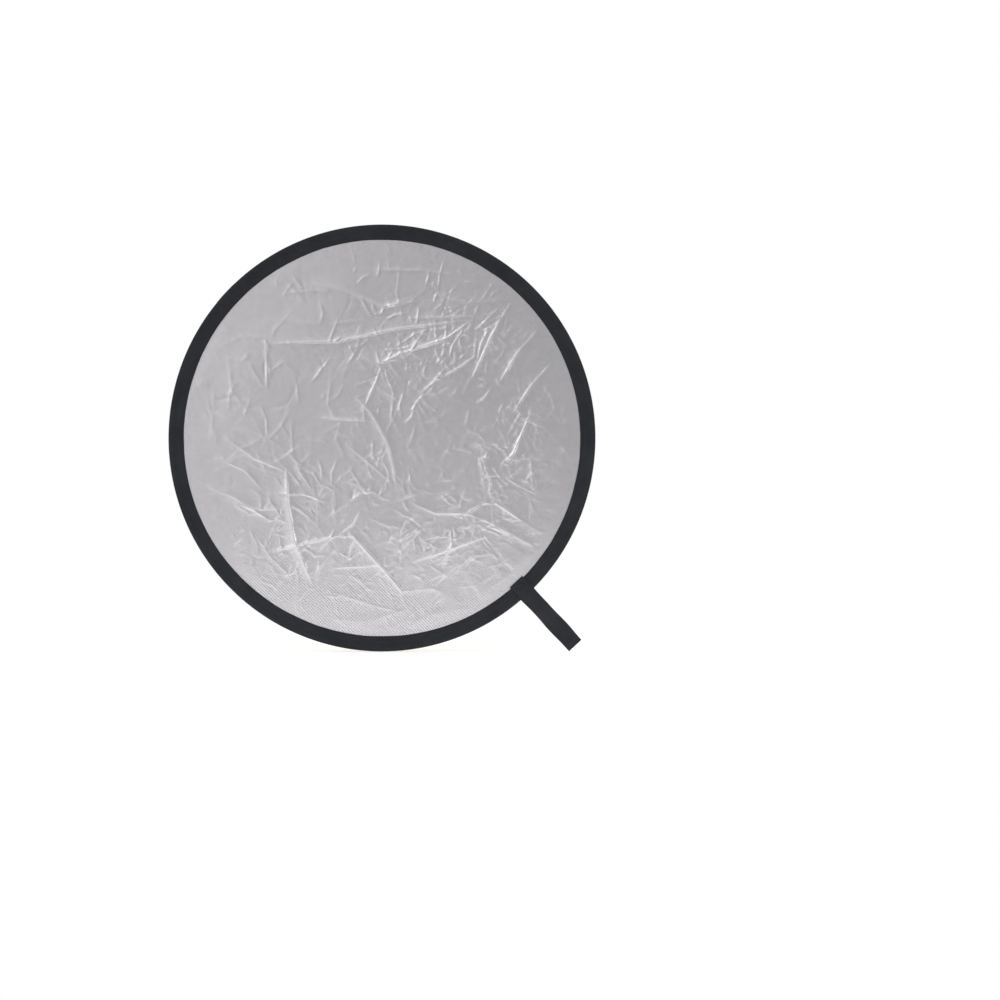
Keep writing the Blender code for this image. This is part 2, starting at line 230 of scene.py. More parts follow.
def add_crease(relief, x, z, path, height, width, spread):
    """Adds a fold along a polyline: a sharp ridge that falls off as exp(-distance/width), on a soft
    swelling of exp(-(distance/spread)^2), both fading out towards the polyline's ends."""
    path = np.asarray(path, float)
    reach = 3 * spread
    axis = x[0]
    low_x, high_x = np.searchsorted(axis, [path[:, 0].min() - reach, path[:, 0].max() + reach])
    low_z, high_z = np.searchsorted(axis, [path[:, 1].min() - reach, path[:, 1].max() + reach])
    window = (slice(low_z, high_z), slice(low_x, high_x))
    px, pz = x[window], z[window]
    if px.size == 0:
        return
    steps = np.linalg.norm(np.diff(path, axis=0), axis=1)
    total, done = steps.sum(), 0.0
    nearest, share = np.full(px.shape, 1e9), np.zeros(px.shape)
    for (ax, az), (bx, bz), step in zip(path[:-1], path[1:], steps):
        t = np.clip(((px - ax) * (bx - ax) + (pz - az) * (bz - az)) / step ** 2, 0, 1)
        distance = np.hypot(px - ax - t * (bx - ax), pz - az - t * (bz - az))
        closer = distance < nearest
        nearest = np.where(closer, distance, nearest)
        share = np.where(closer, (done + t * step) / total, share)
        done += step
    fade = 1 - np.abs(2 * share - 1) ** 3
    rounded = np.sqrt(nearest ** 2 + (0.35 * width) ** 2) - 0.35 * width
    ridge = 0.7 * np.exp(-rounded / width) + 0.3 * np.exp(-(nearest / spread) ** 2)
    relief[window] += height * fade * ridge


def smoothstep(low, high, value):
    """0 below low, 1 above high, and the smooth 3t^2 - 2t^3 between them."""
    t = np.clip((value - low) / (high - low), 0, 1)
    return t * t * (3 - 2 * t)


def settle(relief, radius, bulge):
    """Lays a relief on the cloth's bulge and flattens it towards the rim with limit * tanh(height /
    limit). The limit is 3 mm in the middle, 0.5 mm from 200 mm out, where the tape lies over the
    cloth once it is gathered, and 0.04 mm under the open tape."""
    raised = relief + bulge * np.clip(1 - (radius / BULGE_EDGE) ** 2, 0, 1)
    raised = 0.5 * (raised + np.sqrt(raised ** 2 + (0.08 * MM) ** 2))
    covered_when_packed = smoothstep(0.158, 0.200, radius)
    under_tape = smoothstep(0.216, 0.2295, radius)
    limit = MM * (3.0 - 2.5 * covered_when_packed - 0.46 * under_tape)
    return limit * np.tanh(raised / limit)


def scatter_creases(relief, x, z, seed, count, lengths, heights, width, weight, lean=None):
    """Adds short random folds. A place drawn from the disc is kept with the chance that weight gives
    it; its fold points any way, or within 25 degrees of lean, and kinks once along its length."""
    draw = np.random.default_rng(seed)
    for _ in range(count):
        r, a = CREASED_RADIUS * math.sqrt(draw.random()), 2 * math.pi * draw.random()
        px, pz = r * math.cos(a), r * math.sin(a)
        keep = draw.random()
        turn = draw.uniform(0, math.pi) if lean is None else lean + draw.normal(0, 0.43)
        length = draw.uniform(*lengths)
        height = draw.uniform(*heights) * (1 if draw.random() < 0.75 else -0.6)
        bend = draw.normal(0, 0.35)
        if keep > weight(px, pz):
            continue
        half = 0.5 * length
        path = [(px - half * math.cos(turn), pz - half * math.sin(turn)), (px, pz),
                (px + half * math.cos(turn + bend), pz + half * math.sin(turn + bend))]
        add_crease(relief, x, z, path, height, width, 3.2 * width)


# Where the silver cloth's short creases crowd: x, z and size in mm. One given twice counts double.
CROWDED = ((30, 85, 45), (165, -15, 50), (-115, -140, 55), (60, -150, 75), (-10, -40, 38),
           (180, -95, 50), (90, 120, 60), (165, -15, 50))
# Long folds of the silver cloth: strength, then places from the disc's centre in mm.
SILVER_FOLDS = [
    (0.75, (-31, 49), (-13, 29), (5, -3), (12, -28), (18, -60)),
    (0.50, (-72, 24), (-40, 22), (-13, 21)),
    (0.45, (-43, -6), (-14, -30), (9, -50)),
    (0.45, (-8, 62), (16, 46)),
    (0.60, (-186, 2), (-149, -24), (-107, -41)),
    (0.50, (-196, -22), (-160, -38), (-140, -60)),
    (0.80, (-206, -55), (-172, -70), (-129, -98)),
    (0.45, (-178, -74), (-150, -84), (-118, -82)),
    (1.50, (-112, -35), (-110, -78), (-102, -122), (-80, -174)),
    (0.45, (-102, -31), (-82, -60)),
    (1.00, (-41, -107), (6, -159), (26, -183)),
    (0.55, (-135, -134), (-85, -122), (-41, -112)),
    (0.55, (33, -75), (63, -88), (100, -88), (127, -72)),
    (0.90, (127, -72), (160, -94), (184, -109), (210, -118)),
    (0.50, (100, -88), (134, -102), (187, -132)),
    (0.60, (117, -21), (127, -51), (127, -72)),
    (0.60, (130, -112), (66, -135), (33, -146)),
    (0.65, (152, 160), (127, 117), (103, 63)),
    (0.65, (184, 127), (157, 97), (137, 63)),
    (0.55, (201, 90), (174, 60), (154, 29)),
    (0.60, (174, 29), (154, -18), (144, -28)),
    (0.55, (157, 26), (191, 12), (211, -8), (226, -31)),
    (0.50, (174, -21), (177, -65)),
    (0.85, (177, -65), (201, -65), (226, -68)),
    (0.62, (-135, 110), (-51, 113), (19, 128), (103, 137)),
    (0.45, (29, 140), (110, 142)),
    (0.65, (-8, 85), (26, 100), (76, 117), (107, 139)),
    (0.45, (70, 70), (96, 86), (110, 96)),
    (0.60, (-85, 181), (-41, 172), (2, 154), (43, 160)),
    (0.45, (-12, 197), (45, 196), (96, 190)),
    (0.40, (-12, 86), (30, 96), (48, 124), (60, 133)),
    (0.35, (-128, -65), (-90, -66), (-62, -76)),
    (0.45, (88, -105), (80, -130), (70, -150)),
    (0.50, (98, -196), (60, -176), (20, -180)),
    (0.40, (-62, -152), (-20, -150), (10, -146)),
    (0.45, (-60, -180), (-10, -196), (30, -206)),
    (0.40, (150, -150), (110, -172), (84, -176)),
    (0.35, (-150, -110), (-130, -140), (-98, -170)),
    (0.30, (-200, 30), (-150, 8), (-120, -8)),
    (1.50, (178, -62), (204, -60), (229, -62)),
    (1.50, (184, -80), (208, -77), (226, -80)),
    (1.40, (172, -92), (200, -100), (219, -108)),
    (1.40, (190, -126), (206, -108), (214, -92)),
    (1.10, (150, -152), (176, -138), (192, -126)),
    (0.90, (120, -180), (150, -160), (176, -146)),
    (0.90, (30, -222), (60, -206), (104, -200)),
    (0.80, (-60, -212), (-20, -216), (30, -200)),
    (0.50, (60, 168), (100, 158), (146, 161)),
]
# Long folds of the gold cloth, in the same way.
GOLD_FOLDS = [
    (0.70, (-150, -150), (-80, -176), (0, -186), (80, -170)),
    (0.60, (-178, -110), (-110, -142), (-30, -150), (40, -142)),
    (0.60, (-120, -188), (-40, -212), (40, -214)),
    (0.50, (120, -176), (60, -206), (10, -220)),
    (0.45, (-196, -60), (-140, -92), (-96, -98)),
    (0.50, (206, 70), (196, 10), (206, -60)),
    (0.45, (188, 110), (168, 60), (176, 8)),
    (0.40, (-60, 60), (10, 20), (80, 12)),
    (0.45, (-30, -60), (40, -40), (110, -66)),
    (0.40, (-160, 60), (-110, 20), (-70, 28)),
    (0.40, (60, 130), (90, 90), (140, 70)),
    (0.50, (150, -90), (100, -120), (90, -160)),
]
FOLD_HEIGHT = 1.7                        # mm for a strength of 1
FOLD_WIDTH = 1.0 * MM
FOLD_SPREAD = 7.0 * MM


def cloth_relief(folds, seed, crinkle, bulge):
    """The height of a cloth over its flat state on a square grid, the lowest height close by, and
    the two slopes. The height is the sum of broad waves, the long folds, short creases and fine
    ridged noise, settled on the bulge."""
    axis = np.linspace(-MAP_HALF, MAP_HALF, MAP_COUNT)
    x, z = np.meshgrid(axis, axis)
    radius = np.hypot(x, z)
    relief = 0.35 * MM * lattice_noise(x / 0.085 + 9, z / 0.085 + 9, seed)
    relief += 0.16 * MM * lattice_noise(x / 0.04 + 31, z / 0.04 + 7, seed + 1)
    for height, *path in folds:
        add_crease(relief, x, z, np.array(path) * MM, FOLD_HEIGHT * height * MM, FOLD_WIDTH, FOLD_SPREAD)
    crinkle(relief, x, z, radius)
    height = settle(relief, radius, bulge)
    slope_z, slope_x = np.gradient(height, axis, axis)
    lowest = height
    for way in (0, 1):
        lowest = np.min([np.roll(lowest, shift, way) for shift in range(-5, 6)], axis=0)
    return height, lowest, slope_x, slope_z


def evenly(chance):
    """A weight for short creases that is the same all over the disc."""
    return lambda px, pz: chance


def crowded(px, pz):
    """A weight that is low but for the crowded places, each a bell of exp(-(distance/size)^2)."""
    near = sum(math.exp(-((px - cx * MM) ** 2 + (pz - cz * MM) ** 2) / (size * MM) ** 2)
               for cx, cz, size in CROWDED)
    return min(1.0, 0.09 + near)


def silver_crinkle(relief, x, z, radius):
    """Creases of the silver cloth: few at the upper left, crowded at the right and low down, and
    puckers where the rim pulls at the lower right and the lower left."""
    scatter_creases(relief, x, z, 11, 1500, (0.010, 0.042), (0.12 * MM, 0.48 * MM), 0.75 * MM, crowded)
    scatter_creases(relief, x, z, 12, 1700, (0.004, 0.016), (0.08 * MM, 0.26 * MM), 0.6 * MM, crowded)
    scatter_creases(relief, x, z, 13, 150, (0.03, 0.09), (0.08 * MM, 0.26 * MM), 0.9 * MM,
                    evenly(0.9))
    low = smoothstep(0.02, 0.2, (x - 2 * z) / 2.6)
    ridged = 1 - np.abs(lattice_noise(x / 0.013, z / 0.019 + 3, 21))
    relief += 0.10 * MM * low * ridged ** 4
    rim = smoothstep(0.185, 0.222, radius)
    angle = np.arctan2(z, x)
    pucker = lattice_noise(angle * 26 + 60, radius / 0.05, 22)
    pulled = (smoothstep(0.55, 1.0, np.cos(angle + 0.55))
              + 0.35 * smoothstep(0.3, 1.0, np.cos(angle + 2.0)))
    relief += (0.05 + 0.95 * pulled) * MM * rim * pucker


def gold_crinkle(relief, x, z, radius):
    """Creases of the gold cloth: fine and crowded everywhere, with puckers along the rim."""
    scatter_creases(relief, x, z, 41, 900, (0.010, 0.044), (0.18 * MM, 0.62 * MM), 0.75 * MM,
                    evenly(1.0))
    scatter_creases(relief, x, z, 42, 1200, (0.004, 0.016), (0.12 * MM, 0.36 * MM), 0.6 * MM,
                    evenly(1.0))
    scatter_creases(relief, x, z, 43, 210, (0.03, 0.09), (0.26 * MM, 0.80 * MM), 0.9 * MM,
                    evenly(1.0), lean=0.75)
    ridged = 1 - np.abs(lattice_noise(x / 0.016 + z / 0.03, z / 0.021 + 5, 51))
    relief += 0.08 * MM * ridged ** 3
    angle = np.arctan2(z, x)
    rim = smoothstep(0.150, 0.215, radius)
    relief += (0.08 + 0.42 * smoothstep(0.35, 1.0, np.sin(angle))) * MM * rim * (
        lattice_noise(angle * 30 + 80, radius / 0.07, 52))
    low = smoothstep(0.110, 0.170, -z)
    relief += 0.9 * MM * low * lattice_noise(x / 0.034 + z / 0.030 + 20, z / 0.013 + 4, 53)


def read_map(field, x, z):
    """A field of the square grid at any x and z, straight-line between its four neighbours."""
    scale = (MAP_COUNT - 1) / (2 * MAP_HALF)
    u = np.clip((x + MAP_HALF) * scale, 0, MAP_COUNT - 1.001)
    v = np.clip((z + MAP_HALF) * scale, 0, MAP_COUNT - 1.001)
    iu, iv = u.astype(int), v.astype(int)
    fu, fv = u - iu, v - iv
    near = field[iv, iu] * (1 - fu) + field[iv, iu + 1] * fu
    far = field[iv + 1, iu] * (1 - fu) + field[iv + 1, iu + 1] * fu
    return near * (1 - fv) + far * fv


def add_cloth_sector(name, maps, side, middle, material):
    """One sector of a cloth as a closed slab. A point at (radius, angle) stands off its flat place by
    the relief's height. The hidden face lies one thickness behind, has half as many rows and
    columns, and follows the lowest height close by, so that it never comes through. side is -1
    for the silver cloth and +1 for the gold one."""
    rows, columns = CLOTH_ROWS, CLOTH_COLUMNS
    radius = np.linspace(CLOTH_EDGE / rows, CLOTH_EDGE, rows)[:, None]
    angle = middle + np.linspace(-SECTOR / 2, SECTOR / 2, columns)[None, :]
    grid_x, grid_z = radius * np.cos(angle), radius * np.sin(angle)
    height_map, lowest_map, slope_x_map, slope_z_map = maps
    parts = []
    for x, z, field, depth in ((grid_x, grid_z, height_map, CLOTH_INSIDE + CLOTH_THICK),
                               (grid_x[1::2, ::2], grid_z[1::2, ::2], lowest_map, CLOTH_INSIDE)):
        x, z = np.append(0.0, x.ravel()), np.append(0.0, z.ravel())
        slope_x, slope_z = read_map(slope_x_map, x, z), read_map(slope_z_map, x, z)
        points = np.stack([x, side * (depth + read_map(field, x, z)), CENTRE_HEIGHT + z], axis=-1)
        normals = np.stack([-slope_x, np.full_like(x, side), -slope_z], axis=-1)
        normals /= np.linalg.norm(normals, axis=1, keepdims=True)
        parts.append((points, normals, np.stack([x, z, np.zeros_like(x)], axis=-1)))
    count = len(parts[0][0])
    outer_faces, outer_edge = sector_faces(rows, columns)
    inner_faces, inner_edge = sector_faces(rows // 2, (columns + 1) // 2)
    near, half, far = outer_edge[::2], outer_edge[1::2], np.roll(outer_edge, -2)[::2]
    behind, beyond = count + inner_edge, count + np.roll(inner_edge, -1)
    wall = np.concatenate([np.stack(corners, axis=-1) for corners in (
        (half, near, behind), (far, half, beyond), (half, behind, beyond))])
    faces = outer_faces + [group[:, ::-1] + count for group in inner_faces] + [wall]
    return add_piece(name, np.concatenate([parts[0][0], parts[1][0]]), faces, material,
                     np.concatenate([parts[0][2], parts[1][2]]),
                     np.concatenate([parts[0][1], -parts[1][1]]))


def sector_faces(rows, columns):
    """A sector's faces, a fan at the disc's centre and then quads, and the points of its border."""
    spokes = np.arange(columns - 1)
    fan = np.stack([0 * spokes, 1 + spokes, 2 + spokes], axis=-1)
    first = 1 + np.arange(rows) * columns
    border = np.concatenate([[0], first, first[-1] + 1 + np.arange(columns - 2),
                             first[::-1] + columns - 1])
    return [fan, 1 + wrap_faces(rows, columns)[:, ::-1]], border


# ---------------------------------------------------------------- shader node groups

def link(tree, source, target):
    """Joins a socket or a constant to an input socket."""
    if isinstance(source, bpy.types.NodeSocket):
        tree.links.new(source, target)
    else:
        target.default_value = source


def maths(tree, operation, *values):
    """A Math node on sockets or numbers, and its result."""
    node = tree.nodes.new("ShaderNodeMath")
    node.operation = operation
    for value, target in zip(values, node.inputs):
        link(tree, value, target)
    return node.outputs[0]


def node_group(name, inputs, outputs):
    """A new shader group with named sockets, its inside, and its input and output nodes."""
    tree = bpy.data.node_groups.new(name, "ShaderNodeTree")
    kinds = {"vector": "NodeSocketVector", "value": "NodeSocketFloat", "colour": "NodeSocketColor"}
    for label, kind, default in inputs:
        made = tree.interface.new_socket(name=label, in_out="INPUT", socket_type=kinds[kind])
        if default is not None:
            made.default_value = default
    for label, kind in outputs:
        tree.interface.new_socket(name=label, in_out="OUTPUT", socket_type=kinds[kind])
    return tree, tree.nodes.new("NodeGroupInput").outputs, tree.nodes.new("NodeGroupOutput").inputs


def split(tree, vector):
    """The three parts of a vector."""
    node = tree.nodes.new("ShaderNodeSeparateXYZ")
    tree.links.new(vector, node.inputs[0])
    return node.outputs


def noise(tree, vector, scale, detail=2.0, roughness=0.5):
    """A noise texture on a vector, and its value."""
    node = tree.nodes.new("ShaderNodeTexNoise")
    tree.links.new(vector, node.inputs["Vector"])
    link(tree, scale, node.inputs["Scale"])
    node.inputs["Detail"].default_value = detail
    node.inputs["Roughness"].default_value = roughness
    return node.outputs["Fac"]


def turned(tree, vector, angle):
    """A vector turned round Z."""
    node = tree.nodes.new("ShaderNodeVectorRotate")
    node.rotation_type = "Z_AXIS"
    tree.links.new(vector, node.inputs["Vector"])
    tree.links.new(angle, node.inputs["Angle"])
    return node.outputs[0]


def map_range(tree, value, low, high, to_low=0.0, to_high=1.0, kind="LINEAR"):
    """A value moved from one range to another, and held inside it."""
    node = tree.nodes.new("ShaderNodeMapRange")
    node.interpolation_type = kind
    tree.links.new(value, node.inputs["Value"])
    for label, number in (("From Min", low), ("From Max", high),
                          ("To Min", to_low), ("To Max", to_high)):
        node.inputs[label].default_value = number
    return node.outputs[0]


def plain_weave_group():
    """Over-and-under threads: each thread is a half sine across its width, and the warp shows on
    every second crossing. Slant turns the weave on the cloth."""
    tree, given, made = node_group(
        "Plain weave",
        [("Position", "vector", None), ("Pitch", "value", 0.0006), ("Slant", "value", 0.0)],
        [("Height", "value"), ("Gap", "value")])
    x, y, _ = split(tree, turned(tree, given["Position"], given["Slant"]))
    u, v = (maths(tree, "DIVIDE", part, given["Pitch"]) for part in (x, y))
    checks = maths(tree, "ADD", maths(tree, "FLOOR", u), maths(tree, "FLOOR", v))
    over = maths(tree, "FLOORED_MODULO", checks, 2.0)
    warp, weft = (maths(tree, "ABSOLUTE", maths(tree, "SINE", maths(tree, "MULTIPLY", part, math.pi)))
                  for part in (u, v))
    under = maths(tree, "SUBTRACT", 1.0, over)
    warp_shown, weft_shown = maths(tree, "MULTIPLY", warp, over), maths(tree, "MULTIPLY", weft, under)
    tree.links.new(maths(tree, "ADD", warp_shown, weft_shown), made["Height"])
    gap = maths(tree, "SUBTRACT", 1.0, maths(tree, "MULTIPLY", warp, weft))
    tree.links.new(maths(tree, "POWER", gap, 3.0), made["Gap"])
    return tree


def crinkle_group():
    """Ridges where noise passes through its middle value: thin raised lines with flat ground."""
    tree, given, made = node_group(
        "Crinkle", [("Position", "vector", None), ("Size", "value", 0.01), ("Sharpness", "value", 4.0)],
        [("Height", "value"), ("Patch", "value")])
    scale = maths(tree, "DIVIDE", 1.0, given["Size"])
    ground = noise(tree, given["Position"], scale, 2.0, 0.45)
    off = maths(tree, "ABSOLUTE", maths(tree, "MULTIPLY_ADD", ground, 4.0, -2.0))
    ridge = maths(tree, "MAXIMUM", maths(tree, "SUBTRACT", 1.0, off), 0.0)
    tree.links.new(maths(tree, "POWER", ridge, given["Sharpness"]), made["Height"])
    patch = noise(tree, given["Position"], maths(tree, "MULTIPLY", scale, 0.13), 1.0)
    tree.links.new(patch, made["Patch"])
    return tree


def ribs_group():
    """Parallel ribs: a half sine across each, with a wander that bends them a little."""
    tree, given, made = node_group(
        "Ribs", [("Position", "vector", None), ("Pitch", "value", 0.0008), ("Slant", "value", 0.0),
                 ("Wander", "value", 0.3)], [("Height", "value")])
    x = split(tree, turned(tree, given["Position"], given["Slant"]))[0]
    across = maths(tree, "DIVIDE", x, given["Pitch"])
    bent = maths(tree, "MULTIPLY_ADD", noise(tree, given["Position"], 260.0, 1.0), given["Wander"], across)
    wave = maths(tree, "SINE", maths(tree, "MULTIPLY", bent, math.pi))
    tree.links.new(maths(tree, "ABSOLUTE", wave), made["Height"])
    return tree


def handling_group():
    """Signs of use: broad smudges, and specks of lint, as masks from 0 to 1."""
    tree, given, made = node_group(
        "Handling", [("Position", "vector", None), ("Smudge size", "value", 0.06),
                     ("Lint size", "value", 0.0016)], [("Smudge", "value"), ("Lint", "value")])
    broad = noise(tree, given["Position"], maths(tree, "DIVIDE", 1.0, given["Smudge size"]), 3.0, 0.6)
    tree.links.new(broad, made["Smudge"])
    fine = noise(tree, given["Position"], maths(tree, "DIVIDE", 1.0, given["Lint size"]), 1.0)
    tree.links.new(map_range(tree, fine, 0.74, 0.86), made["Lint"])
    return tree


GROUP_MAKERS = {"Plain weave": plain_weave_group, "Crinkle": crinkle_group, "Ribs": ribs_group,
                "Handling": handling_group}


class Finish:
    """A material under construction: its tree, its Principled shader and its base position."""

    def __init__(self, name, roughness, metallic=0.0, position="flat"):
        self.material = bpy.data.materials.new(name)
        self.material.use_nodes = True
        self.tree = self.material.node_tree
        self.shader = self.tree.nodes["Principled BSDF"]
        self.shader.inputs["Roughness"].default_value = roughness
        self.shader.inputs["Metallic"].default_value = metallic
        if position == "flat":
            node = self.tree.nodes.new("ShaderNodeAttribute")
            node.attribute_name = "flat"
            self.position = node.outputs["Vector"]
        else:
            self.position = self.tree.nodes.new("ShaderNodeTexCoord").outputs["Object"]

    def group(self, name, **values):
        """Places a shared group on the base position with its own values, and gives its outputs."""
        tree = bpy.data.node_groups.get(name) or GROUP_MAKERS[name]()
        node = self.tree.nodes.new("ShaderNodeGroup")
        node.node_tree = tree
        self.tree.links.new(self.position, node.inputs["Position"])
        for label, value in values.items():
            link(self.tree, value, node.inputs[label.replace("_", " ")])
        return node.outputs

    def mix(self, factor, first, second):
        """A colour that runs from the first to the second."""
        node = self.tree.nodes.new("ShaderNodeMix")
        node.data_type = "RGBA"
        link(self.tree, factor, node.inputs[0])
        link(self.tree, (*first, 1.0) if isinstance(first, tuple) else first, node.inputs[6])
        link(self.tree, (*second, 1.0) if isinstance(second, tuple) else second, node.inputs[7])
        return node.outputs[2]

    def between(self, value, low, high, to_low=0.0, to_high=1.0):
        """A value moved from one range to another, and held inside it."""
        return map_range(self.tree, value, low, high, to_low, to_high)

    def sum(self, *terms):
        """The weighted sum of heights: pairs of a weight and a socket."""
        total = maths(self.tree, "MULTIPLY", terms[0][1], terms[0][0])
        for weight, term in terms[1:]:
            total = maths(self.tree, "MULTIPLY_ADD", term, weight, total)
        return total

    def feed(self, colour=None, roughness=None, height=None, distance=1.0):
        """Joins the colour, the roughness and the relief to the shader. Heights are in metres."""
        if colour is not None:
            self.tree.links.new(colour, self.shader.inputs["Base Color"])
        if roughness is not None:
            self.tree.links.new(roughness, self.shader.inputs["Roughness"])
        if height is not None:
            bump = self.tree.nodes.new("ShaderNodeBump")
            bump.inputs["Distance"].default_value = distance
            self.tree.links.new(height, bump.inputs["Height"])
            self.tree.links.new(bump.outputs[0], self.shader.inputs["Normal"])
        return self.material


def shade(colour, factor):
    """A colour made lighter or darker."""
    return tuple(min(1.0, c * factor) for c in colour)


def metallised_finish(name, colour, tint, crinkle_height, hatch):
    """Aluminium-coated woven cloth: its thread shows through the coating, with painted shade in the
    gaps between the threads, finer crinkles than the mesh holds run over it, slanted ribs of the
    height hatch stand up low on the cloth, and its tone drifts between two close tints."""
    cloth = Finish(name, 0.32, metallic=0.92)
    weave = cloth.group("Plain weave", Pitch=0.00055, Slant=0.785)
    crinkle = cloth.group("Crinkle", Size=0.012, Sharpness=5.0)
    fine = cloth.group("Crinkle", Size=0.0045, Sharpness=3.0)
    marks = cloth.group("Handling", Smudge_size=0.07)
    tone = cloth.mix(cloth.between(marks["Smudge"], 0.35, 0.65), colour, tint)
    # Painted shade: the colour darkens in the gaps between the threads.
    tone = cloth.mix(maths(cloth.tree, "MULTIPLY", weave["Gap"], 0.25), tone, shade(colour, 0.55))
    dullness = maths(cloth.tree, "MULTIPLY_ADD", weave["Gap"], 0.4, marks["Smudge"])
    rough = cloth.between(dullness, 0.2, 1.2, 0.21, 0.34)
    ribs = cloth.group("Ribs", Pitch=0.0026, Slant=-0.80, Wander=0.8)
    low = cloth.between(split(cloth.tree, cloth.position)[1], -0.09, -0.19)
    hatched = maths(cloth.tree, "MULTIPLY", ribs["Height"], low)
    patchy = maths(cloth.tree, "MULTIPLY", crinkle["Height"], crinkle["Patch"])
    height = cloth.sum((0.00002, weave["Height"]), (crinkle_height, patchy),
                       (crinkle_height * 0.3, fine["Height"]), (hatch, hatched))
    return cloth.feed(tone, rough, height)


def woven_tape_finish(name, colour, pitch, rib_pitch, slant):
    """Black polyester tape or webbing: ribs of thread, painted shade in the gaps between the threads, a
    dull sheen where it is rubbed, and lint.
    """
    tape = Finish(name, 0.8)
    tape.shader.inputs["Specular IOR Level"].default_value = 0.3
    weave = tape.group("Plain weave", Pitch=pitch, Slant=slant)
    ribs = tape.group("Ribs", Pitch=rib_pitch, Wander=0.15)
    marks = tape.group("Handling", Smudge_size=0.035)
    tone = tape.mix(tape.between(marks["Smudge"], 0.3, 0.7), shade(colour, 0.86), shade(colour, 1.16))
    # Painted shade: the colour darkens in the gaps between the threads.
    tone = tape.mix(maths(tape.tree, "MULTIPLY", weave["Gap"], 0.45), tone, shade(colour, 0.4))
    tone = tape.mix(maths(tape.tree, "MULTIPLY", marks["Lint"], 0.2), tone, (0.30, 0.30, 0.31))
    rough = tape.between(marks["Smudge"], 0.3, 0.7, 0.86, 0.70)
    tape.shader.inputs["Sheen Weight"].default_value = 0.05
    tape.shader.inputs["Sheen Roughness"].default_value = 0.5
    return tape.feed(tone, rough, tape.sum((0.00009, weave["Height"]), (0.00008, ribs["Height"])))


def thread_finish(name, colour):
    """Twisted polyester thread: slanted plies round it, with a painted highlight on each ply's crest and
    painted shade in the grooves between plies, and a little gloss.
    """
    thread = Finish(name, 0.5)
    plies = thread.group("Ribs", Pitch=0.00035, Slant=0.6, Wander=0.05)
    # Painted highlight on the ply crests and painted shade in the grooves between them.
    tone = thread.mix(plies["Height"], shade(colour, 0.45), shade(colour, 1.25))
    rough = thread.between(plies["Height"], 0, 1, 0.7, 0.42)
    return thread.feed(tone, rough, thread.sum((0.00006, plies["Height"])))


def steel_finish(name, colour, roughness, grain):
    """Rolled steel: fine rolling lines round the strip, faint stains, and a drift of its blueing."""
    steel = Finish(name, roughness, metallic=1.0, position="object")
    lines = steel.group("Ribs", Pitch=grain, Slant=1.57, Wander=3.0)
    marks = steel.group("Handling", Smudge_size=0.012)
    tone = steel.mix(steel.between(marks["Smudge"], 0.35, 0.65), colour, shade(colour, 0.72))
    rough = steel.between(marks["Smudge"], 0.3, 0.7, roughness - 0.06, roughness + 0.14)
    return steel.feed(tone, rough, steel.sum((0.000006, lines["Height"]), (0.00001, marks["Lint"])))


# ---------------------------------------------------------------- rim tape and seams

TAPE_OUTSIDE = [(232.1, 1.08), (233.2, 1.13), (236.5, 1.14), (239, 1.22), (242.6, 1.28), (244.0, 1.85),
                (245.4, 3.05), (246.6, 3.33), (248.6, 3.28), (249.6, 2.75), (249.95, 1.6), (250, 0)]
TAPE_INSIDE = [(232.3, 0.78), (236, 0.78), (243.0, 0.80), (244.6, 1.7), (245.9, 2.72), (247.2, 2.86),
               (248.6, 2.7), (249.2, 2.1), (249.45, 1.2), (249.5, 0)]
TAPE_MIDDLE = 0.241                      # radius at which the tape's length is measured
SEAM_RADIUS = 0.235
SEAM_DEPTH = 1.09 * MM
SEAM_SLANT = 0.10
STITCHES_PER_SECTOR = 21
RIM_STITCH = (2.35 * MM, 0.22 * MM)      # length and thread radius
STRAP_STITCH = (1.95 * MM, 0.23 * MM)


def both_faces(half, step):
    """A line from the tape's inner edge to the rim in front, and its mirror image back again."""
    front = smooth_path([(r, -y) for r, y in half], step)
    return np.vstack([front, front[-2::-1] * (1, -1)])


def tape_outline():
    """The folded tape's closed outline as radius and depth: out along its front, round the rim and
    in along its back, then the same way back inside, one wall thickness in. Gives both parts."""
    return both_faces(TAPE_OUTSIDE, 0.85) * MM, both_faces(TAPE_INSIDE, 2.0)[::-1] * MM


def tape_drape(radius, depth, angle):
    """How sewing and handling move the tape: its inner edge wanders by a third of a millimetre, each
    stitch dimples it, and slanted drag lines run from the seam to the hoop."""
    edge = 1 - smoothstep(0.2325, 0.2385, radius)
    wander = 0.28 * lattice_noise(angle * 9 + 40, angle * 0 + 5.5, 71)
    wander = wander + 0.12 * lattice_noise(angle * 31 + 90, angle * 0 + 9.5, 72)
    per_turn = LINKS * STITCHES_PER_SECTOR
    dimple = 0.5 + 0.5 * np.cos(per_turn * (angle - STRAP_ANGLE) + math.pi)
    seam = np.exp(-((radius - SEAM_RADIUS) / (1.1 * MM)) ** 2)
    slack = smoothstep(0.2355, 0.2395, radius) * (1 - smoothstep(0.2405, 0.2440, radius))
    drag = lattice_noise(angle * 52 + radius * 900 + 90, radius * 60, 73)
    crown = smoothstep(0.2440, 0.2470, radius) * lattice_noise(angle * 22 + 70, angle * 0 + 3.5, 74)
    lift = -0.13 * seam * (0.35 + 0.65 * dimple) + 0.16 * slack * drag + 0.07 * crown
    return radius + MM * wander * edge, depth + np.sign(depth) * MM * lift * np.minimum(
        1, np.abs(depth) / (0.7 * MM))


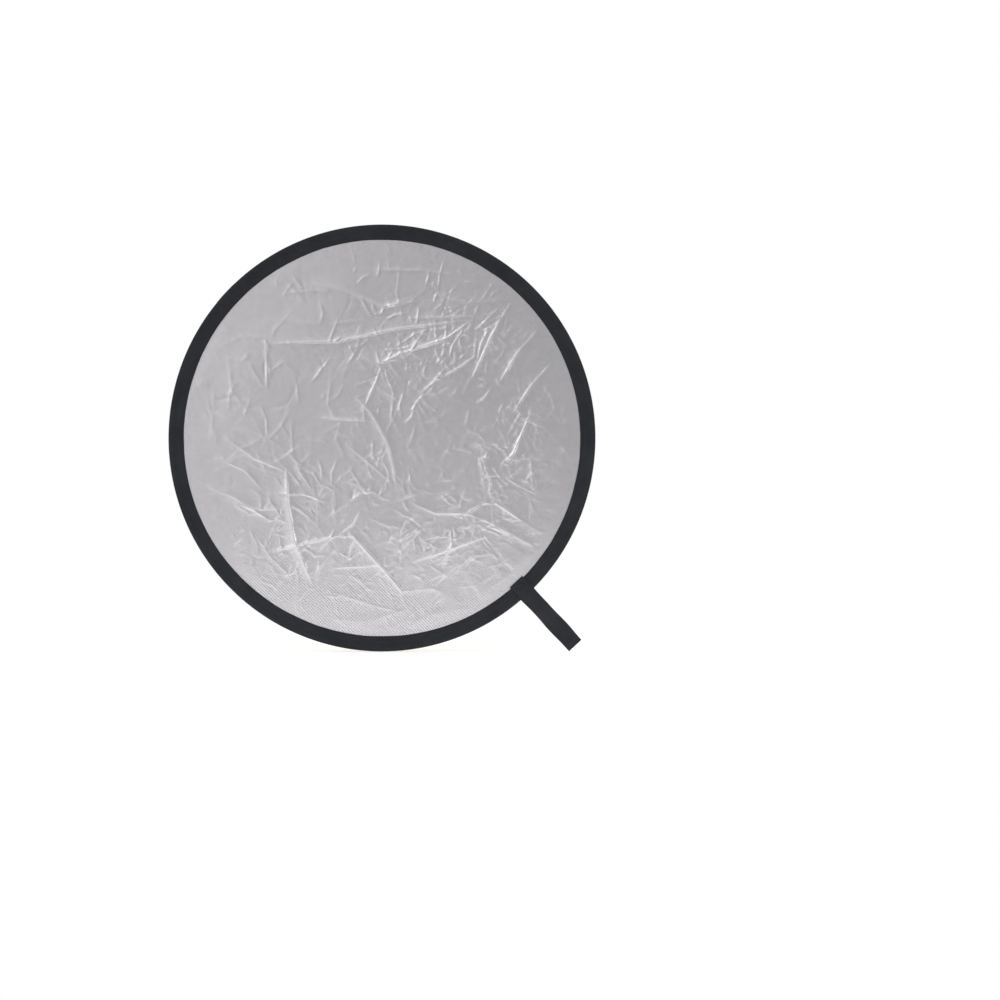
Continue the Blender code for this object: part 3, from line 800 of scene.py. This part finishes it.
def add_tape_span(span, material):
    """A stretch of the folded tape: its outline carried round the rim, closed at both ends. The last
    stretch of the right arm lies over the left arm's end, as the tape's lap does."""
    name, first, second, start, end = span
    outside, inside = tape_outline()
    outline = np.vstack([outside, inside])
    steps = 51 if first == second else 101
    angle = np.linspace(start, end, steps)[:, None]
    radius, depth = tape_drape(outline[None, :, 0], outline[None, :, 1], angle)
    if name == "right_end":
        lap = smoothstep(0, 1, np.linspace(0, 4, steps))[:, None] * 0.14 * MM
        depth = depth + np.sign(depth) * lap
        radius = radius + lap * (radius - 0.232) / 0.018
    count = len(outline)
    points = disc_point(radius, angle, depth).reshape(-1, 3)
    around = np.concatenate([[0], np.cumsum(np.linalg.norm(np.diff(outline, axis=0), axis=1))])
    flat = np.stack(np.broadcast_arrays(angle * TAPE_MIDDLE, around[None, :], 0.0), axis=-1).reshape(-1, 3)
    body = wrap_faces(steps, count, close_columns=True)
    caps = [end_cap(row * count, len(outside), len(inside), flip=row > 0) for row in (0, steps - 1)]
    piece = add_piece(f"rim_tape_{name}", points, [body] + caps, material, flat)
    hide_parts("rim_binding")
    follow_span(piece, span)


def end_cap(base, outer, inner, flip):
    """Triangles between the outside and the inside of the outline at a cut end: every outer edge
    goes to the nearest inner point, and every inner edge to the outer point where it changes."""
    marks = np.round(np.linspace(0, outer - 1, inner)).astype(int)
    owner = np.searchsorted((marks[1:] + marks[:-1]) / 2, np.arange(outer - 1) + 0.5)
    inside = outer + (inner - 1 - np.arange(inner))
    first = np.stack([np.arange(outer - 1), np.arange(1, outer), inside[owner]], axis=-1)
    change = np.searchsorted(owner, np.arange(1, inner))
    second = np.stack([change, inside[1:], inside[:-1]], axis=-1)
    triangles = np.concatenate([first, second]) + base
    return triangles if flip else triangles[:, ::-1]


def stitch_mesh(centres, forwards, ups, length, radius):
    """Many stitches at once. Each is a spindle: rings along its length whose size is
    sqrt(1 - s^2) and which sink at the ends by s^2, so that the thread dives into the cloth."""
    rings, around = 5, 6
    s = np.linspace(-1, 1, rings + 2)[1:-1]
    phi = np.arange(around) * 2 * math.pi / around
    size = np.sqrt(1 - s ** 2)[:, None]
    forward = np.concatenate([[-1.0], np.repeat(s, around), [1.0]]) * length / 2
    side = np.concatenate([[0.0], (size * np.cos(phi)).ravel(), [0.0]]) * radius
    sink = np.concatenate([[1.0], np.repeat(s ** 2, around), [1.0]])
    up = np.concatenate([[0.0], (size * np.sin(phi)).ravel(), [0.0]]) * radius
    up = up + radius * (0.9 - 1.5 * sink)
    across = np.cross(forwards, ups)
    points = (centres[:, None, :] + forward[None, :, None] * forwards[:, None, :]
              + side[None, :, None] * across[:, None, :] + up[None, :, None] * ups[:, None, :])
    number = 2 + rings * around
    tube = 1 + wrap_faces(rings, around, close_columns=True)
    turn = np.arange(around)
    start = np.stack([np.zeros(around, int), 1 + (turn + 1) % around, 1 + turn], axis=-1)
    last = 1 + (rings - 1) * around
    end = np.stack([np.full(around, number - 1), last + turn, last + (turn + 1) % around], axis=-1)
    offsets = (np.arange(len(centres)) * number)[:, None, None]
    faces = [(group[None] + offsets).reshape(-1, group.shape[1]) for group in (tube, start, end)]
    flat = np.tile(np.stack([forward, side, np.zeros(number)], axis=-1), (len(centres), 1))
    return points.reshape(-1, 3), faces, flat


def add_seam_span(span, side, material):
    """The row of lockstitch on one face of a stretch of rim: equal stitches a little aslant."""
    name, first, second, start, end = span
    number = STITCHES_PER_SECTOR if first != second else STITCHES_PER_SECTOR // 2
    pitch = SECTOR / STITCHES_PER_SECTOR * (1 if end > start else -1)
    angle = start + (np.arange(number) + 0.5) * pitch
    centres = disc_point(SEAM_RADIUS, angle, side * SEAM_DEPTH)
    out = np.stack([np.cos(angle), 0 * angle, np.sin(angle)], axis=-1)
    round_rim = np.stack([-np.sin(angle), 0 * angle, np.cos(angle)], axis=-1)
    forwards = round_rim * math.cos(SEAM_SLANT) + out * math.sin(SEAM_SLANT) * side
    ups = np.tile([0.0, float(side), 0.0], (number, 1))
    points, faces, flat = stitch_mesh(centres, forwards, ups, *RIM_STITCH)
    face = "front" if side < 0 else "rear"
    piece = add_piece(f"seam_{face}_{name}", points, faces, material, flat)
    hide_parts(f"{face}_seam_thread")
    follow_span(piece, span)


# ---------------------------------------------------------------- strap

WEB_FACE, WEB_EDGE = 35, 5               # points across a face of the webbing and round a selvedge
STRAP_LINE = [(229.9, 2.10), (232, 2.08), (236, 2.10), (240, 2.18), (242.6, 2.62), (245.2, 3.72),
              (247.4, 3.98), (249.4, 3.88), (251.4, 3.15), (254, 1.98), (257, 1.06), (260, 0.66),
              (266, 0.56), (290, 0.58), (316, 0.56), (326, 0.60), (330.2, 0.84), (331.5, 0.62),
              (331.75, 0.0)]


def strap_line(thickness):
    """The middle of the webbing as radius and depth: out over the front of the rim, round the tip,
    and back over the rear. STRAP_LINE is for webbing 0.9 mm thick, and thicker webbing stands
    half of the difference further off."""
    half = np.array(STRAP_LINE, float)
    front = half * (1, -1)
    spread = (thickness / MM - 0.9) / 2
    front[:-1, 1] -= spread
    path = np.vstack([front, front[-2::-1] * (1, -1)]) * MM
    return smooth_path(path, 0.45 * MM)


def leg_surface(radius, thickness):
    """Depth of the strap's visible face at a radius."""
    half = np.array(STRAP_LINE[:16], float) * MM
    return np.interp(radius, half[:, 0], half[:, 1]) + thickness / 2


def webbing_end(count):
    """Faces that close a cut end of the webbing: quads between its two faces, and a fan for each
    round selvedge."""
    top = np.arange(WEB_FACE)
    bottom = np.arange(WEB_FACE + WEB_EDGE, 2 * WEB_FACE + WEB_EDGE)[::-1]
    right = np.arange(WEB_FACE - 1, WEB_FACE + WEB_EDGE + 1)
    left = np.append(np.arange(2 * WEB_FACE + WEB_EDGE - 1, count), 0)
    fans = [np.stack([ring[0] + 0 * ring[1:-1], ring[1:-1], ring[2:]], axis=-1) for ring in (right, left)]
    return [np.stack([top[:-1], top[1:], bottom[1:], bottom[:-1]], axis=-1)] + fans


def add_strap(sizes, material):
    """Doubled webbing: a flat outline with round selvedges carried along the strap's line. Its face
    has twill ribs in chevrons, and it wanders sideways by half a millimetre."""
    width, thickness = sizes.strap_width, sizes.webbing_thickness
    path = strap_line(thickness)
    step = np.gradient(path, axis=0)
    step /= np.linalg.norm(step, axis=1, keepdims=True)
    length = np.concatenate([[0], np.cumsum(np.linalg.norm(np.diff(path, axis=0), axis=1))])
    across = np.linspace(-1, 1, WEB_FACE) * (width - thickness) / 2
    bend = np.linspace(0, math.pi, WEB_EDGE + 2)[1:-1]
    lateral = np.concatenate([across, (width - thickness) / 2 + np.sin(bend) * thickness / 2,
                              across[::-1], -(width - thickness) / 2 - np.sin(bend) * thickness / 2])
    normal = np.concatenate([np.ones(WEB_FACE), np.cos(bend), -np.ones(WEB_FACE), -np.cos(bend)])
    chevron = np.abs(((lateral / (4.4 * MM)) % 1.0) - 0.5) * 2.0
    ribs = np.sin(2 * math.pi * (length[:, None] / (1.44 * MM) + chevron[None, :] * 1.5))
    flatness = smoothstep(0, 0.6 * MM, (width / 2 - np.abs(lateral)))
    cupping = 0.10 * MM * (2 * lateral / width) ** 2
    lift = normal * thickness / 2 + np.sign(normal) * 0.045 * MM * ribs * flatness - cupping
    wander = 0.45 * MM * np.sin(2 * math.pi * length / 0.118 + 0.6) + 0.2 * MM * np.sin(length / 0.0063)
    wander = wander * smoothstep(0, 0.02, length) * smoothstep(0, 0.02, length[-1] - length)
    side, out, axis = along(STRAP_ANGLE), outward(STRAP_ANGLE), np.array([0.0, 1.0, 0.0])
    centre = np.array([0, 0, CENTRE_HEIGHT]) + path[:, :1] * out + path[:, 1:] * axis
    normals = step[:, 1:] * out - step[:, :1] * axis
    points = (centre[:, None, :] + (lateral[None, :, None] + wander[:, None, None]) * side
              + lift[:, :, None] * normals[:, None, :])
    steps, count = lift.shape
    flat = np.stack(np.broadcast_arrays(length[:, None], lateral[None, :], 0.0), axis=-1)
    faces = [wrap_faces(steps, count, close_columns=True)]
    faces += [part[:, ::-1] for part in webbing_end(count)]
    faces += [part + (steps - 1) * count for part in webbing_end(count)]
    piece = add_piece("strap_webbing", points.reshape(-1, 3), faces, material, flat.reshape(-1, 3))
    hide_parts("strap_anchor", "strap_loop")
    hinge = disc_point(HINGE_RADIUS, STRAP_ANGLE, 0.0)
    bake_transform(piece)


def stitched_line(first, last, pitch):
    """Middles and direction of equal stitches between two places, as (sideways, radius) pairs."""
    first, last = np.asarray(first, float) * MM, np.asarray(last, float) * MM
    run = np.linalg.norm(last - first)
    number = max(1, int(round(run / pitch)))
    share = (np.arange(number) + 0.5) / number
    return first + share[:, None] * (last - first), np.tile((last - first) / run, (number, 1))


def add_strap_stitches(name, lines, side, body, node, sizes, material):
    """Stitches on one face of the strap along several straight lines."""
    places, ways = zip(*(stitched_line(a, b, 2.3 * MM) for a, b in lines))
    places, ways = np.vstack(places), np.vstack(ways)
    depth = leg_surface(places[:, 1], sizes.webbing_thickness)
    slope = (leg_surface(places[:, 1] + 0.1 * MM, sizes.webbing_thickness) - depth) / (0.1 * MM)
    sideways, out = along(STRAP_ANGLE), outward(STRAP_ANGLE)
    axis = np.array([0.0, 1.0, 0.0])
    centres = (np.array([0, 0, CENTRE_HEIGHT]) + places[:, :1] * sideways + places[:, 1:] * out
               + side * depth[:, None] * axis)
    forwards = (ways[:, :1] * sideways + ways[:, 1:] * out
                + side * (slope * ways[:, 1])[:, None] * axis)
    forwards /= np.linalg.norm(forwards, axis=1, keepdims=True)
    ups = side * axis - slope[:, None] * out
    ups -= np.einsum("ij,ij->i", ups, forwards)[:, None] * forwards
    ups /= np.linalg.norm(ups, axis=1, keepdims=True)
    points, faces, flat = stitch_mesh(centres, forwards, ups, *STRAP_STITCH)
    piece = add_piece(name, points, faces, material, flat)
    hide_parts(node)
    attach(piece, body)


# ---------------------------------------------------------------- settings and operators

class ReflectorSizes(bpy.types.PropertyGroup):
    """Sizes that a user may change."""

    cloth_bulge: FloatProperty(
        name="Cloth Bulge", description="How far the middle of each cloth stands off its flat state",
        default=0.0009, min=0.0, max=0.002, unit="LENGTH")
    strap_width: FloatProperty(
        name="Strap Width", description="Width of the strap's webbing",
        default=0.020, min=0.016, max=0.024, unit="LENGTH")
    webbing_thickness: FloatProperty(
        name="Webbing Thickness", description="Thickness of one layer of the strap",
        default=0.0009, min=0.0006, max=0.0011, unit="LENGTH")
    floor_radius: FloatProperty(
        name="Floor Radius", description="Radius of the pale floor under the disc",
        default=1.2, min=0.6, max=8.0, unit="LENGTH")


class ReflectorColours(bpy.types.PropertyGroup):
    """Colours that a user may change."""

    silver: FloatVectorProperty(
        name="Silver", description="Colour of the silver cloth's coating", subtype="COLOR",
        default=(0.75, 0.735, 0.75), min=0.0, max=1.0)
    gold: FloatVectorProperty(
        name="Gold", description="Colour of the gold cloth's coating", subtype="COLOR",
        default=(0.75, 0.42, 0.115), min=0.0, max=1.0)
    tape: FloatVectorProperty(
        name="Rim Tape", description="Colour of the tape round the rim", subtype="COLOR",
        default=(0.0150, 0.0172, 0.0215), min=0.0, max=1.0)
    webbing: FloatVectorProperty(
        name="Webbing", description="Colour of the strap", subtype="COLOR",
        default=(0.0165, 0.0185, 0.0225), min=0.0, max=1.0)
    thread: FloatVectorProperty(
        name="Thread", description="Colour of the sewing thread", subtype="COLOR",
        default=(0.013, 0.0145, 0.0175), min=0.0, max=1.0)


SILVER_TINT = (0.72, 0.70, 0.73)
GOLD_TINT = (0.75, 0.405, 0.115)
BOX_LOW, BOX_HIGH = 232.6, 241.2         # the strap's box of stitches, as radii in mm
TIP_ROWS = (321.0, 323.0)
SOFTBOXES = (
    ("Left softbox", (-1.25, -2.6, 0.95), (1.6, 1.6), 8.0),
    ("Upper softbox", (-1.3, -1.6, 2.0), (1.0, 1.0), 8.0),
    ("Low strip", (0.02, -0.9, 0.03), (0.7, 0.05), 0.03),
    ("Right softbox", (1.5, -1.3, 0.2), (0.5, 0.5), 2.4),
    ("Rear softbox", (1.3, 2.2, 1.6), (1.0, 1.0), 9.0),
    ("Rear low strip", (-0.02, 0.9, 0.03), (0.7, 0.05), 0.07),
    ("Rear side softbox", (-1.5, 1.3, 0.3), (0.5, 0.5), 4.0),
)
FLOOR_TURNS, FLOOR_RINGS = 96, 12
FLOOR_DROP = 0.0004                      # the floor lies this far under the rim
FLOOR_GLOW = 0.24
VIEW_WIDTH = 1.171                       # width of the view in the plane of the disc
VIEW_MIDDLE = (0.1382, 0.1774)


def named_material(name, maker, *values):
    """The material of that name, made the first time it is asked for."""
    return bpy.data.materials.get(name) or maker(name, *values)


class REFLECTOR_OT_cloth(bpy.types.Operator):
    """Make the silver and the gold cloth, in sectors that are each attached to one length of the hoop"""

    bl_idname = "reflector.cloth"
    bl_label = "Cloths"

    def execute(self, context):
        sizes, colours = context.scene.reflector_sizes, context.scene.reflector_colours
        silver = named_material("Metallised silver cloth", metallised_finish, tuple(colours.silver),
                                SILVER_TINT, 0.00005, 0.00014)
        gold = named_material("Metallised gold cloth", metallised_finish, tuple(colours.gold),
                              GOLD_TINT, 0.00009, 0.0)
        for face, side, folds, seed, crinkle, material in (
                ("front", -1, SILVER_FOLDS, 3, silver_crinkle, silver),
                ("rear", 1, GOLD_FOLDS, 5, gold_crinkle, gold)):
            maps = cloth_relief(folds, seed, crinkle, sizes.cloth_bulge)
            for number, (body, middle) in enumerate(hoop_lengths(), 1):
                piece = add_cloth_sector(f"cloth_{face}_{number:02d}", maps, side, middle, material)
                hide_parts(f"{face}_cloth")
                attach(piece, body)
                tuple(disc_point(CHORD_RADIUS, middle, 0.0))
                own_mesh(piece)
        return {"FINISHED"}


class REFLECTOR_OT_tape(bpy.types.Operator):
    """Make the tape that is folded over the rim"""

    bl_idname = "reflector.tape"
    bl_label = "Rim Tape"

    def execute(self, context):
        colour = tuple(context.scene.reflector_colours.tape)
        material = named_material("Black polyester tape", woven_tape_finish, colour, 0.0005, 0.0011, 0.0)
        for span in rim_spans():
            add_tape_span(span, material)
        return {"FINISHED"}


class REFLECTOR_OT_seams(bpy.types.Operator):
    """Make the rows of lockstitch that hold the tape to the cloths"""

    bl_idname = "reflector.seams"
    bl_label = "Rim Seams"

    def execute(self, context):
        colour = tuple(context.scene.reflector_colours.thread)
        material = named_material("Black thread", thread_finish, colour)
        for span in rim_spans():
            for side in (-1, 1):
                add_seam_span(span, side, material)
        return {"FINISHED"}


class REFLECTOR_OT_strap(bpy.types.Operator):
    """Make the doubled strap and its stitching"""

    bl_idname = "reflector.strap"
    bl_label = "Strap"

    def execute(self, context):
        sizes, colours = context.scene.reflector_sizes, context.scene.reflector_colours
        webbing = named_material("Black webbing", woven_tape_finish, tuple(colours.webbing),
                                 0.0009, 0.0016, 0.785)
        thread = named_material("Black thread", thread_finish, tuple(colours.thread))
        add_strap(sizes, webbing)
        wide = 1000 * sizes.strap_width / 2 - 3.0
        low, high = BOX_LOW, BOX_HIGH
        box = [((-wide, low), (wide, low)), ((-wide, high), (wide, high)), ((-wide, low), (-wide, high)),
               ((wide, low), (wide, high)), ((-wide, low), (wide, high)), ((-wide, high), (wide, low))]
        rows = [((-wide, r), (wide, r)) for r in TIP_ROWS]
        for face, side in (("front", -1), ("rear", 1)):
            add_strap_stitches(f"strap_box_{face}", box, side, "root", f"strap_box_stitch_{face}",
                               sizes, thread)
            add_strap_stitches(f"strap_tip_{face}", rows, side, "strap", f"strap_tip_stitch_{face}",
                               sizes, thread)
        return {"FINISHED"}


class REFLECTOR_OT_hoop(bpy.types.Operator):
    """Give the sprung hoop and its ferrule their steel"""

    bl_idname = "reflector.hoop"
    bl_label = "Hoop Finish"

    def execute(self, context):
        spring = named_material("Blued spring steel", steel_finish, (0.20, 0.21, 0.25), 0.32, 0.00025)
        plated = named_material("Plated ferrule steel", steel_finish, (0.62, 0.62, 0.60), 0.36, 0.0004)
        for name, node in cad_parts.items():
            if name.startswith("hoop"):
                material = plated if name == "hoop_ferrule" else spring
                for place in node.material_slots:
                    place.material = material
        return {"FINISHED"}


class REFLECTOR_OT_stage(bpy.types.Operator):
    """Make the pale floor, the soft studio light and the camera"""

    bl_idname = "reflector.stage"
    bl_label = "Stage"

    def execute(self, context):
        add_floor(context.scene.reflector_sizes.floor_radius)
        light_world(context.scene)
        for softbox in SOFTBOXES:
            add_softbox(*softbox)
        add_camera(context.scene)
        context.scene.view_settings.view_transform = "Standard"
        return {"FINISHED"}


# ---------------------------------------------------------------- stage

def add_floor(radius):
    """A round floor just under the rim that fades out towards its edge."""
    height = RIM_LOW.z - FLOOR_DROP
    angle = np.linspace(0, 2 * math.pi, FLOOR_TURNS + 1)[:-1]
    rings = np.linspace(0.02, 1, FLOOR_RINGS) * radius
    x, y = np.outer(rings, np.cos(angle)), np.outer(rings, np.sin(angle))
    points = np.stack([x, y, np.full_like(x, height)], axis=-1).reshape(-1, 3)
    points = np.vstack([points, [0, 0, height]])
    turn = np.arange(FLOOR_TURNS)
    hub = np.stack([turn, (turn + 1) % FLOOR_TURNS, np.full(FLOOR_TURNS, len(points) - 1)], axis=-1)
    rim_faces = wrap_faces(FLOOR_RINGS, FLOOR_TURNS, close_columns=True)[:, ::-1]
    mesh = bpy.data.meshes.new("studio_floor")
    mesh.from_pydata(points.tolist(), [], rim_faces.tolist() + hub.tolist())
    finish = Finish("Pale floor", 0.8, position="object")
    finish.shader.inputs["Specular IOR Level"].default_value = 0.1
    finish.shader.inputs["Emission Color"].default_value = (1, 1, 1, 1)
    finish.shader.inputs["Emission Strength"].default_value = FLOOR_GLOW
    marks = finish.group("Handling", Smudge_size=0.5)
    far = finish.tree.nodes.new("ShaderNodeVectorMath")
    far.operation = "LENGTH"
    finish.tree.links.new(finish.position, far.inputs[0])
    fade = finish.between(far.outputs["Value"], 0.25 * radius, radius, 1.0, 0.0)
    finish.tree.links.new(fade, finish.shader.inputs["Alpha"])
    tone = finish.mix(marks["Smudge"], (0.93, 0.93, 0.93), (0.97, 0.97, 0.97))
    mesh.materials.append(finish.feed(tone))
    floor = bpy.data.objects.new("studio_floor", mesh)
    bpy.context.scene.collection.objects.link(floor)


def light_world(scene):
    """White where the camera looks past the disc. For light, a room that is dimmer straight in
    front of either face, and brighter round about, so that folds catch it."""
    world = bpy.data.worlds.new("Studio")
    world.use_nodes = True
    scene.world = world
    tree = world.node_tree
    room = tree.nodes["Background"]
    direction = tree.nodes.new("ShaderNodeTexCoord").outputs["Generated"]
    parts = split(tree, direction)
    facing = maths(tree, "ABSOLUTE", parts[1])
    ramp = map_range(tree, facing, 0.66, 0.96, 0.80, 0.36, kind="SMOOTHSTEP")
    lifted = maths(tree, "MULTIPLY_ADD", maths(tree, "MAXIMUM", parts[2], 0.0), 0.25, ramp)
    tree.links.new(lifted, room.inputs["Color"])
    backdrop = tree.nodes.new("ShaderNodeBackground")
    backdrop.inputs["Color"].default_value = (1, 1, 1, 1)
    chosen = tree.nodes.new("ShaderNodeMixShader")
    rays = tree.nodes.new("ShaderNodeLightPath")
    tree.links.new(rays.outputs["Is Camera Ray"], chosen.inputs[0])
    tree.links.new(room.outputs[0], chosen.inputs[1])
    tree.links.new(backdrop.outputs[0], chosen.inputs[2])
    tree.links.new(chosen.outputs[0], tree.nodes["World Output"].inputs["Surface"])


def add_softbox(name, place, size, power):
    """An oblong soft light that faces the middle of the disc."""
    data = bpy.data.lights.new(name, "AREA")
    data.shape = "RECTANGLE"
    data.size, data.size_y = size
    data.energy = power
    light = bpy.data.objects.new(name, data)
    light.location = place
    aim = Vector((0, 0, CENTRE_HEIGHT)) - light.location
    light.rotation_euler = aim.to_track_quat("-Z", "Y").to_euler()
    bpy.context.scene.collection.objects.link(light)


def add_camera(scene):
    """A long lens straight in front, with the disc left of the middle and a little above it."""
    data = bpy.data.cameras.new("Camera")
    data.lens = 180
    data.sensor_width = 36
    data.clip_end = 100
    camera = bpy.data.objects.new("Camera", data)
    distance = VIEW_WIDTH * data.lens / data.sensor_width
    camera.location = (VIEW_MIDDLE[0], -distance, VIEW_MIDDLE[1])
    camera.rotation_euler = (math.pi / 2, 0, 0)
    scene.collection.objects.link(camera)
    scene.camera = camera


OPERATORS = (REFLECTOR_OT_cloth, REFLECTOR_OT_tape, REFLECTOR_OT_seams, REFLECTOR_OT_strap,
             REFLECTOR_OT_hoop, REFLECTOR_OT_stage)


class REFLECTOR_PT_panel(bpy.types.Panel):
    """Settings and pieces of the reflector disc"""

    bl_label = "Reflector Disc"
    bl_idname = "REFLECTOR_PT_panel"
    bl_space_type = "VIEW_3D"
    bl_region_type = "UI"
    bl_category = "Reflector"

    def draw(self, context):
        column = self.layout.column()
        for settings in (context.scene.reflector_sizes, context.scene.reflector_colours):
            for label in settings.__annotations__:
                column.prop(settings, label)
        for operator in OPERATORS:
            column.operator(operator.bl_idname)


CLASSES = (ReflectorSizes, ReflectorColours) + OPERATORS + (REFLECTOR_PT_panel,)


def register():
    for cls in CLASSES:
        bpy.utils.register_class(cls)
    bpy.types.Scene.reflector_sizes = PointerProperty(type=ReflectorSizes)
    bpy.types.Scene.reflector_colours = PointerProperty(type=ReflectorColours)


def unregister():
    del bpy.types.Scene.reflector_colours
    del bpy.types.Scene.reflector_sizes
    for cls in reversed(CLASSES):
        bpy.utils.unregister_class(cls)


def main():
    """Makes every piece in turn."""
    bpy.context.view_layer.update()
    register()
    bpy.ops.reflector.cloth()
    bpy.ops.reflector.tape()
    bpy.ops.reflector.seams()
    bpy.ops.reflector.strap()
    bpy.ops.reflector.hoop()
    bpy.ops.reflector.stage()
    bpy.context.view_layer.update()


if __name__ == "__main__":
    main()
